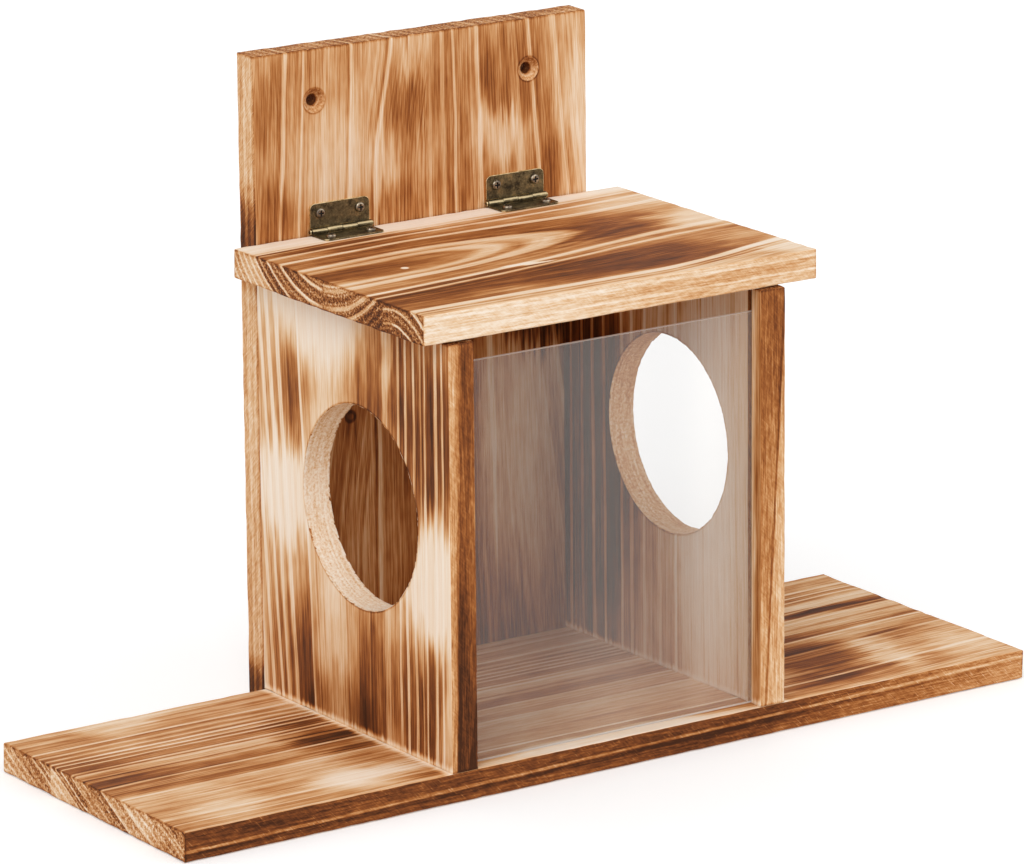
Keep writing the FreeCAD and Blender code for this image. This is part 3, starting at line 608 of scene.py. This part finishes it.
def cut_every(axis, places):
    """Cuts the board in edit mode across one axis, at places in mm."""
    for place in places:
        across = [0.0, 0.0, 0.0]
        across[axis] = 1.0
        bpy.ops.mesh.select_all(action="SELECT")
        bpy.ops.mesh.bisect(plane_co=[place * MM] * 3, plane_no=across)


CHIP_REACH = 3.0


def worn_board(node, body, material, grain, across, wear, bore=None):
    """One board with its arrises worn by up to wear mm, and the rim of its bore left ragged by the hole saw."""
    piece = clean_copy(node, "torched_" + node, body, material)
    low, high = [[value / MM for value in corner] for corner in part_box(node)]
    rims = [None, None, None]
    if bore:
        (rims[grain], rims[across]), radius = bore
    for axis, step in ((grain, 4.3), (across, 3.7)):
        count = int((high[axis] - low[axis] - 3) / step)
        places = [low[axis] + 1.7 + step * number for number in range(count + 1)]
        cut_every(axis, [x for x in places if not bore or abs(abs(x - rims[axis]) - radius) > 1.5])
    if bore:
        thin = 3 - grain - across
        cut_every(thin, [low[thin] + 1.1, high[thin] - 1.1])
        (bore_along, bore_side), radius = bore
        bpy.ops.mesh.select_mode(type="VERT")
        bpy.ops.mesh.select_all(action="DESELECT")
        bpy.ops.object.mode_set(mode="OBJECT")

        def on_rim(point):
            out = hypot(point[grain] / MM - bore_along, point[across] / MM - bore_side)
            face = min(abs(point[thin] / MM - low[thin]), abs(high[thin] - point[thin] / MM))
            return abs(out - radius) < 0.12 and face < 0.05

        for vertex in piece.data.vertices:
            vertex.select = on_rim(vertex.co)
        bpy.ops.object.mode_set(mode="EDIT")
        bpy.ops.mesh.select_mode(type="EDGE")
        bpy.ops.mesh.subdivide(number_cuts=2)
        bpy.ops.object.mode_set(mode="OBJECT")
        for vertex in piece.data.vertices:
            place = vertex.co / MM
            face = min(abs(place[thin] - low[thin]), abs(high[thin] - place[thin]))
            off = Vector((place[grain] - bore_along, place[across] - bore_side))
            fading = 1 - (off.length - radius) / CHIP_REACH
            if face < 0.05 and 0 < fading < 1.1:
                rim = (off.normalized() * radius).to_3d() + Vector((0, 0, place[thin]))
                chip = 0.4 * noise.noise(rim / 3) + 0.8 * abs(noise.noise(rim / 1.1))
                off *= 1 + max(0.02, chip) * min(1, fading) / off.length
                vertex.co[grain] = (bore_along + off.x) * MM
                vertex.co[across] = (bore_side + off.y) * MM
        bpy.ops.object.mode_set(mode="EDIT")
    bpy.ops.object.mode_set(mode="OBJECT")
    for vertex in piece.data.vertices:
        place = vertex.co / MM
        near = [axis for axis in range(3) if min(place[axis] - low[axis], high[axis] - place[axis]) < 0.9]
        if len(near) > 1:
            rub = max(0.0, 0.3 + 0.5 * noise.noise(place / 9) + 0.8 * noise.noise(place / 2.6)) * wear
            for axis in near:
                inward = 1 if place[axis] - low[axis] < high[axis] - place[axis] else -1
                vertex.co[axis] += inward * rub * (1.4 if axis == grain else 0.7) * MM
    soften(piece)
    return piece


worn_board("left_side_panel", "frame", left_side, 2, 1, 0.25, ((104, -11), 40.75))
worn_board("right_side_panel", "frame", right_side, 2, 1, 0.25, ((110.5, -11), 40.75))
worn_board("back_board", "frame", back_board, 2, 0, 0.28)
worn_board("lid_board", "lid", lid_board, 0, 1, 0.28)
worn_board("base_board", "frame", base_board, 0, 1, 0.3)

# Clear acrylic sheet: cast and polished, scuffed by handling into a thin uneven milkiness; its cut edges are painted
# near-white and the top edge nearly opaque, a painted highlight
acrylic, tree, shader = new_material("clear_acrylic")
place = add_node(tree, "TexCoord")
wide = add_node(tree, "Mapping", {"Vector": place.outputs["Object"], "Rotation": (0, 0.22, 0), "Scale": (16, 1, 2)})
cloudy = add_node(tree, "TexNoise", {"Vector": wide.outputs[0], "Scale": 1.0, "Detail": 1.0})
milk = add_node(
    tree, "ValToRGB", {0: cloudy.outputs[0]},
    stops=[(0.38, linear("#A39F9C")), (0.5, linear("#C2BDB7")), (0.62, linear("#EFE6DC"))],
)
facing = add_node(tree, "SeparateXYZ", {0: place.outputs["Normal"]})
cut = add_node(tree, "Math", {0: facing.outputs["Y"]}, operation="ABSOLUTE")
on_face = add_node(tree, "MapRange", {"Value": cut.outputs[0], "From Min": 0.4, "From Max": 0.8})
# Cut edges painted near-white: painted highlight along the pane's edge
milk_and_edge_highlight = add_node(
    tree, "Mix", {0: on_face.outputs[0], 6: linear("#F2EEE8"), 7: milk.outputs[0]}, data_type="RGBA", clamp_factor=True
)
tree.links.new(milk_and_edge_highlight.outputs[2], shader.inputs["Base Color"])
scuff = add_node(tree, "TexNoise", {"Vector": place.outputs["Object"], "Scale": 60.0, "Detail": 6.0, "Roughness": 0.7})
rubbed = add_node(tree, "MapRange", {"Value": scuff.outputs[0], "From Min": 0.4, "From Max": 0.7, "To Min": 0.04, "To Max": 0.16})
tree.links.new(rubbed.outputs[0], shader.inputs["Roughness"])
shader.inputs["IOR"].default_value = 1.49
# The faces keep a thin haze; the up-facing top edge is made nearly opaque as a painted highlight
haze_and_top_edge_highlight = add_node(tree, "MapRange", {"Value": facing.outputs["Z"], "From Min": 0.4, "From Max": 0.8, "To Min": 0.14, "To Max": 0.75})
tree.links.new(haze_and_top_edge_highlight.outputs[0], shader.inputs["Alpha"])
dress("window_pane", acrylic)

# Antique brass: pressed strip, darkened to a mottled olive brown and rubbed bright along its edges and knuckles
brass, tree, shader = new_material("antique_brass")
place = add_node(tree, "TexCoord")
facing = add_node(tree, "VectorMath", {0: place.outputs["Normal"]}, operation="ABSOLUTE")
apart = add_node(tree, "SeparateXYZ", {0: facing.outputs[0]})
widest = add_node(tree, "Math", {0: apart.outputs[1], 1: apart.outputs[2]}, operation="MAXIMUM")
widest = add_node(tree, "Math", {0: widest.outputs[0], 1: apart.outputs[0]}, operation="MAXIMUM")
patina = add_node(tree, "TexNoise", {"Vector": place.outputs["Object"], "Scale": 260.0, "Detail": 4.0, "Roughness": 0.65})
specks = add_node(tree, "TexNoise", {"Vector": place.outputs["Object"], "Scale": 1400.0, "Detail": 2.0})
rub = add_node(tree, "MapRange", {"Value": widest.outputs[0], "From Min": 0.97, "From Max": 0.8, "To Max": 1.0})
rub = add_node(tree, "Math", {0: patina.outputs[0], 1: 0.5, 2: rub.outputs[0]}, operation="MULTIPLY_ADD")
rub = add_node(tree, "MapRange", {"Value": rub.outputs[0], "From Min": 0.42, "From Max": 1.2})
tone = add_node(tree, "Math", {0: specks.outputs[0], 1: 0.35, 2: patina.outputs[0]}, operation="MULTIPLY_ADD")
dull = add_node(
    tree, "ValToRGB", {0: tone.outputs[0]},
    stops=[(0.5, linear("#3A3226")), (0.62, linear("#5C503A")), (0.72, linear("#6E634A")), (0.82, linear("#8C7A58"))],
)
bright = add_node(
    tree, "Mix", {0: rub.outputs[0], 6: dull.outputs[0], 7: linear("#D2BF95")}, data_type="RGBA", clamp_factor=True
)
tree.links.new(bright.outputs[2], shader.inputs["Base Color"])
shader.inputs["Metallic"].default_value = 1.0
rough = add_node(tree, "MapRange", {"Value": tone.outputs[0], "From Min": 0.45, "From Max": 0.85, "To Min": 0.55, "To Max": 0.3})
tree.links.new(rough.outputs[0], shader.inputs["Roughness"])
pits = add_node(tree, "Bump", {"Height": specks.outputs[0], "Distance": 0.00006, "Strength": 0.5})
tree.links.new(pits.outputs[0], shader.inputs["Normal"])

# Rubbed brass on the back leaf's pressed edges: worn through the brown, and partly a painted highlight, bright on every
# edge of that leaf
rubbed_brass_and_highlight, tree, shader = new_material("rubbed_brass_and_highlight")
place = add_node(tree, "TexCoord")
wear_and_highlight_spots = add_node(tree, "TexNoise", {"Vector": place.outputs["Object"], "Scale": 420.0, "Detail": 3.0, "Roughness": 0.6})
wear_and_highlight_tone = add_node(
    tree, "ValToRGB", {0: wear_and_highlight_spots.outputs[0]},
    stops=[(0.34, linear("#8F7A52")), (0.46, linear("#D8C08C")), (0.62, linear("#F0E0B8"))],
)
tree.links.new(wear_and_highlight_tone.outputs[0], shader.inputs["Base Color"])
shader.inputs["Metallic"].default_value = 1.0
shader.inputs["Roughness"].default_value = 0.34

# Browned steel: pan-head screws, rubbed to grey on the crown; the recess is painted near-black as painted shade
browned, tree, shader = new_material("browned_steel")
place = add_node(tree, "TexCoord")
film = add_node(tree, "TexNoise", {"Vector": place.outputs["Object"], "Scale": 500.0, "Detail": 4.0, "Roughness": 0.6})
steel_tone = add_node(
    tree, "ValToRGB", {0: film.outputs[0]},
    stops=[(0.35, linear("#5A5048")), (0.5, linear("#8E8272")), (0.66, linear("#C2B49C"))],
)
tree.links.new(steel_tone.outputs[0], shader.inputs["Base Color"])
shader.inputs["Metallic"].default_value = 1.0
rough = add_node(tree, "MapRange", {"Value": film.outputs[0], "From Min": 0.3, "From Max": 0.7, "To Min": 0.42, "To Max": 0.24})
tree.links.new(rough.outputs[0], shader.inputs["Roughness"])

# Zinc-plated steel: board screws, pale grey with the plating's faint bluish and yellow bloom
zinc, tree, shader = new_material("zinc_plated_steel")
place = add_node(tree, "TexCoord")
bloom = add_node(tree, "TexNoise", {"Vector": place.outputs["Object"], "Scale": 320.0, "Detail": 4.0, "Roughness": 0.6})
zinc_tone = add_node(
    tree, "ValToRGB", {0: bloom.outputs[0]},
    stops=[(0.35, linear("#A9AEB4")), (0.5, linear("#C4C5C2")), (0.65, linear("#D6D0BD"))],
)
tree.links.new(zinc_tone.outputs[0], shader.inputs["Base Color"])
shader.inputs["Metallic"].default_value = 1.0
rough = add_node(tree, "MapRange", {"Value": bloom.outputs[0], "From Min": 0.3, "From Max": 0.7, "To Min": 0.28, "To Max": 0.48})
tree.links.new(rough.outputs[0], shader.inputs["Roughness"])

# Hinge sizes in mm, along the leaf's width, out from the pin and up from the board that carries the leaf
HALF_WIDTH, LEAF_REACH, LEAF_THICK = 14.0, 11.0, 0.7
KNUCKLE_PITCH, KNUCKLE_LENGTH, KNUCKLE_RADIUS, PIN_RISE = 7.075, 6.9, 1.4, 1.7
SCREW_STEP, SCREW_REACH, HEAD_RISE = 9.3, 7.0, 1.8


def select_faces(piece, wanted):
    """Selects the faces whose centre in mm and normal satisfy wanted, and stays in edit mode."""
    bpy.ops.mesh.select_mode(type="FACE")
    bpy.ops.mesh.select_all(action="DESELECT")
    bpy.ops.object.mode_set(mode="OBJECT")
    for face in piece.data.polygons:
        face.select = wanted(face.center / MM, face.normal)
    bpy.ops.object.mode_set(mode="EDIT")


def hinge_leaf(name, place, slots, rim):
    """A pressed leaf with a rim of one brass and its two rolled knuckles, made flat at the origin, then set in place."""
    bpy.ops.object.select_all(action="DESELECT")
    bpy.ops.mesh.primitive_cube_add(size=MM)
    plate = bpy.context.active_object
    plate.name = name
    bpy.ops.object.mode_set(mode="EDIT")
    bpy.ops.transform.resize(value=(2 * HALF_WIDTH, LEAF_REACH - 1.2, LEAF_THICK))
    bpy.ops.transform.translate(value=(0, (LEAF_REACH + 1.2) / 2 * MM, LEAF_THICK / 2 * MM))
    for number in (1, 2, 3):
        middle = (number - 2) * KNUCKLE_PITCH
        for beside in (-0.1, 0.1):
            bpy.ops.mesh.select_all(action="SELECT")
            bpy.ops.mesh.bisect(plane_co=((middle + beside) * MM, 0, 0), plane_no=(1, 0, 0))
    bounds = [((slot - 2) * KNUCKLE_PITCH + 0.1, (slot - 1) * KNUCKLE_PITCH - 0.1) for slot in slots]
    select_faces(plate, lambda at, out: out.y < -0.9 and any(left < at.x < right for left, right in bounds))
    bpy.ops.mesh.extrude_region_move(TRANSFORM_OT_translate={"value": (0, -1.4 * MM, 0)})
    bpy.ops.mesh.select_mode(type="EDGE")
    bpy.ops.mesh.select_all(action="DESELECT")
    bpy.ops.object.mode_set(mode="OBJECT")
    for edge in plate.data.edges:
        ends = [plate.data.vertices[index].co / MM for index in edge.vertices]
        edge.select = all(abs(abs(end.x) - HALF_WIDTH) < 0.01 and end.y > LEAF_REACH - 0.01 for end in ends)
    bpy.ops.object.mode_set(mode="EDIT")
    bpy.ops.mesh.bevel(offset=2.4 * MM, segments=8, affect="EDGES")
    soften(plate, bevel=0.17)
    plate.data.materials.append(brass)
    plate.data.materials.append(rim)
    for face in plate.data.polygons:
        face.material_index = int(abs(face.normal.z) < 0.95)
    shells = [plate]
    for left, right in bounds:
        bpy.ops.object.select_all(action="DESELECT")
        bpy.ops.mesh.primitive_cylinder_add(
            vertices=40, radius=KNUCKLE_RADIUS * MM, depth=KNUCKLE_LENGTH * MM, end_fill_type="NGON",
        )
        knuckle = bpy.context.active_object
        bpy.ops.object.mode_set(mode="EDIT")
        bpy.ops.transform.rotate(value=radians(90), orient_axis="Y", center_override=(0, 0, 0))
        bpy.ops.transform.translate(value=((left + right) / 2 * MM, 0, PIN_RISE * MM))
        select_faces(knuckle, lambda at, out: abs(out.x) > 0.9)
        bpy.ops.mesh.inset(thickness=0.62 * MM)
        bpy.ops.mesh.extrude_region_move(TRANSFORM_OT_translate={"value": (0, 0, 0)})
        soften(knuckle, bevel=0.13)
        knuckle.data.materials.append(brass)
        shells.append(knuckle)
    bpy.ops.object.select_all(action="DESELECT")
    for shell in shells:
        shell.select_set(True)
    bpy.context.view_layer.objects.active = plate
    bpy.ops.object.join()
    plate.data.transform(place)
    bpy.ops.object.mode_set(mode="EDIT")
    bpy.ops.mesh.select_all(action="SELECT")
    bpy.ops.mesh.normals_make_consistent(inside=False)
    bpy.ops.object.mode_set(mode="OBJECT")
    return plate


def steel_screws(node, body, crosses, rise_axis, crown, into):
    """The leaf's screws, with the cross recess of each head painted near-black as painted shade."""
    piece = clean_copy(node, "steel_" + node, body, browned)
    piece.data.materials.append(recess_shade)
    for x, other, other_axis in crosses:
        def in_recess(at, out):
            depth = (at[rise_axis] - crown) * into
            return 0.14 < depth < 1.0 and hypot(at.x - x, at[other_axis] - other) < 1.3

        select_faces(piece, in_recess)
        bpy.context.object.active_material_index = 1
        bpy.ops.object.material_slot_assign()
    soften(piece)


# Painted shade: near-black for the screws' cross recesses, where shade falls in the hollow
recess_shade, tree, shader = new_material("steel_recess_shade")
place = add_node(tree, "TexCoord")
recess_shade_specks = add_node(tree, "TexNoise", {"Vector": place.outputs["Object"], "Scale": 900.0, "Detail": 3.0})
recess_shade_tone = add_node(
    tree, "ValToRGB", {0: recess_shade_specks.outputs[0]}, stops=[(0.4, linear("#0E0B09")), (0.65, linear("#2A231E"))],
)
tree.links.new(recess_shade_tone.outputs[0], shader.inputs["Base Color"])
shader.inputs["Roughness"].default_value = 0.6

for side in ("left", "right"):
    low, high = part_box(f"{side}_hinge_back_leaf")
    middle = (low[0] + high[0]) / 2 / MM
    wall, axis_y, axis_z, lid_top = 62.0, 60.3, 196.6, 194.9
    upright = Matrix(((1, 0, 0, middle * MM), (0, 0, -1, wall * MM), (0, 1, 0, axis_z * MM), (0, 0, 0, 1)))
    flat = Matrix(((1, 0, 0, middle * MM), (0, -1, 0, axis_y * MM), (0, 0, 1, lid_top * MM), (0, 0, 0, 1)))
    # The back leaf's edges get the bright rim, worn and partly painted highlight; the lid leaf keeps plain brass on its
    # edges
    leaves = (("back", "frame", upright, (1, 3), rubbed_brass_and_highlight), ("lid", "lid", flat, (0, 2), brass))
    for leaf, body, place, slots, rim in leaves:
        piece = hinge_leaf(f"brass_{side}_hinge_{leaf}_leaf", place, slots, rim)
        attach(piece, body)
        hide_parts(f"{side}_hinge_{leaf}_leaf")
    spots = (middle - SCREW_STEP, middle + SCREW_STEP)
    steel_screws(
        f"{side}_hinge_back_screws", "frame", [(x, axis_z + SCREW_REACH, 2) for x in spots], 1, wall - HEAD_RISE, 1,
    )
    steel_screws(
        f"{side}_hinge_lid_screws", "lid", [(x, axis_y - SCREW_REACH, 1) for x in spots], 2, lid_top + HEAD_RISE, -1,
    )
    dress(f"{side}_hinge_pin", brass)
    dress(f"{side}_panel_base_screws", zinc)
    dress(f"{side}_panel_back_screws", zinc)
dress("base_back_screws", zinc)

def seen_plainly(tree):
    """1 where the camera sees the surroundings straight, in a mirroring surface or through the pane."""
    path = add_node(tree, "LightPath")
    plain = add_node(
        tree, "Math", {0: path.outputs["Is Camera Ray"], 1: path.outputs["Is Transmission Ray"]}, operation="MAXIMUM",
    )
    return add_node(tree, "Math", {0: plain.outputs[0], 1: path.outputs["Is Glossy Ray"]}, operation="MAXIMUM")


# Floor, just clear of the base's underside so the two never share a plane
FLOOR_CLEARANCE = 0.3
bpy.ops.object.select_all(action="DESELECT")
bpy.ops.mesh.primitive_plane_add(size=12, location=(0, 0, -FLOOR_CLEARANCE * MM))
floor = bpy.context.active_object
floor.name = "floor"
paper, tree, shader = new_material("white_paper")
shader.inputs["Base Color"].default_value = linear("#F2F2F2")
shader.inputs["Roughness"].default_value = 0.9
seen = seen_plainly(tree)
glow = add_node(tree, "Emission", {"Color": (1, 1, 1, 1), "Strength": 0.22})
lit = add_node(tree, "AddShader", {0: shader.outputs[0], 1: glow.outputs[0]})
both = add_node(tree, "MixShader", {0: seen.outputs[0], 1: shader.outputs[0], 2: lit.outputs[0]})
tree.links.new(both.outputs[0], tree.nodes["Material Output"].inputs["Surface"])
floor.data.materials.append(paper)

# World and lamps
world = bpy.data.worlds.new("studio")
bpy.context.scene.world = world
world.use_nodes = True
tree = world.node_tree
tree.nodes.clear()
seen = seen_plainly(tree)
soft = add_node(tree, "Background", {"Color": (1, 1, 1, 1), "Strength": 0.66})
white = add_node(tree, "Background", {"Color": (1, 1, 1, 1), "Strength": 1.0})
both = add_node(tree, "MixShader", {0: seen.outputs[0], 1: soft.outputs[0], 2: white.outputs[0]})
add_node(tree, "OutputWorld", {"Surface": both.outputs[0]})


def sheet_of_light(name, toward, strength, spread):
    """Even soft light from one side: toward points at the lamp, and spread is how wide it looks, in radians."""
    data = bpy.data.lights.new(name, "SUN")
    data.energy = strength
    data.angle = spread
    lamp = bpy.data.objects.new(name, data)
    lamp.rotation_euler = Vector(toward).to_track_quat("Z", "Y").to_euler()
    bpy.context.scene.collection.objects.link(lamp)


sheet_of_light("key", (-0.55, -0.45, 0.7), 1.25, 0.7)
sheet_of_light("fill", (0.6, -0.8, 0.35), 0.5, 0.9)
